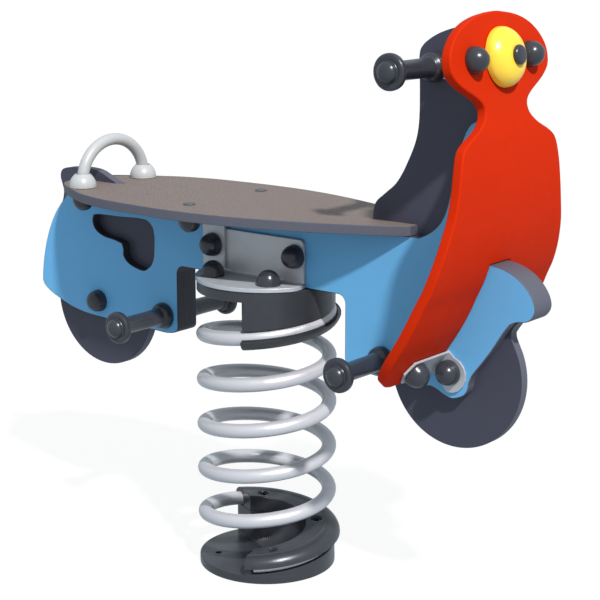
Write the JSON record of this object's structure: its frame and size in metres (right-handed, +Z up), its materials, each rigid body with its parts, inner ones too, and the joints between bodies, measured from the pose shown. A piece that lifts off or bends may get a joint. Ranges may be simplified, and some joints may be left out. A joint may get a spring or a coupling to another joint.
{
  "type": "spring rider",
  "caption": "Playground spring rider in scooter form: coil spring on a round foot, panel body with deck seat, front shield, handlebar grips, footrests and grab arch.",
  "frame": {"origin": "centre of the underside of the round foot, on the spring's axis", "axes": "+X the way the scooter faces, +Y the rider's left, +Z up along the spring"},
  "size_m": [0.8682, 0.2956, 0.784],
  "materials": {
    "cast_iron": "dark grey paint on a casting, satin",
    "spring_paint": "light grey powder coat, satin",
    "steel": "zinc plated sheet, satin",
    "blue_panel": "fine-grained sheet, satin, with dark sawn edges",
    "dark_panel": "fine-grained sheet, satin",
    "seat_deck": "ribbed anti-slip top, matt",
    "red_panel": "solid-colour sheet, satin",
    "arch_coat": "off-white coated tube, satin",
    "dark_plastic": "moulded, semi-gloss",
    "yellow_plastic": "moulded, glossy",
    "bolt_steel": "zinc plated, satin"
  },
  "bodies": {
    "base": {"base_flange": "cast_iron", "base_clamp": "cast_iron"},
    "coil": {"coil_spring": "spring_paint"},
    "rider": {"top_flange": "cast_iron", "top_clamp": "cast_iron", "spring_plate_right": "steel", "spring_plate_left": "steel", "bracket_right": "steel", "bracket_left": "steel", "seat_angle_right": "steel", "seat_angle_left": "steel", "head_bracket_right": "steel", "head_bracket_left": "steel", "fork_bracket_right": "steel", "fork_bracket_left": "steel", "side_panel_right": "blue_panel", "side_panel_left": "blue_panel", "core_panel": "dark_panel", "seat": "seat_deck", "shield": "red_panel", "grab_arch": "arch_coat", "arch_foot_right": "arch_coat", "arch_foot_left": "arch_coat", "plate_cap_front_right": "dark_plastic", "plate_cap_front_left": "dark_plastic", "plate_cap_rear_right": "dark_plastic", "plate_cap_rear_left": "dark_plastic", "bracket_cap_front_right": "dark_plastic", "bracket_cap_front_left": "dark_plastic", "bracket_cap_rear_right": "dark_plastic", "bracket_cap_rear_left": "dark_plastic", "rear_body_cap_right": "dark_plastic", "rear_body_cap_left": "dark_plastic", "seat_cap_right": "dark_plastic", "seat_cap_left": "dark_plastic", "arch_cap_right": "dark_plastic", "arch_cap_left": "dark_plastic", "head_cap_right": "dark_plastic", "head_cap_left": "dark_plastic", "fork_cap_right": "dark_plastic", "fork_cap_left": "dark_plastic", "leg_cap_right": "dark_plastic", "leg_cap_left": "dark_plastic", "headlamp_cap": "dark_plastic", "handlebar_grip_right": "dark_plastic", "handlebar_grip_left": "dark_plastic", "rear_footrest_right": "dark_plastic", "rear_footrest_left": "dark_plastic", "front_footrest_right": "dark_plastic", "front_footrest_left": "dark_plastic", "headlamp": "yellow_plastic", "bracket_bolt_front": "bolt_steel", "bracket_bolt_rear": "bolt_steel", "rear_body_bolt": "bolt_steel", "fork_bolt": "bolt_steel", "handlebar_rod": "bolt_steel", "rear_footrest_rod": "bolt_steel", "front_footrest_rod": "bolt_steel", "seat_bolt_right": "bolt_steel", "seat_bolt_left": "bolt_steel"}
  },
  "joints": [
    {"name": "rock_side", "type": "hinge", "parent": "base", "child": "coil", "pos_m": [0, 0, 0.204], "axis": [1, 0, 0], "range_deg": [-15, 15], "stiffness_Nm_per_rad": 590},
    {"name": "rock_fore_aft", "type": "hinge", "parent": "coil", "child": "rider", "pos_m": [0, 0, 0.204], "axis": [0, 1, 0], "range_deg": [-20, 20], "stiffness_Nm_per_rad": 590, "deforming": ["coil_spring"]}
  ]
}
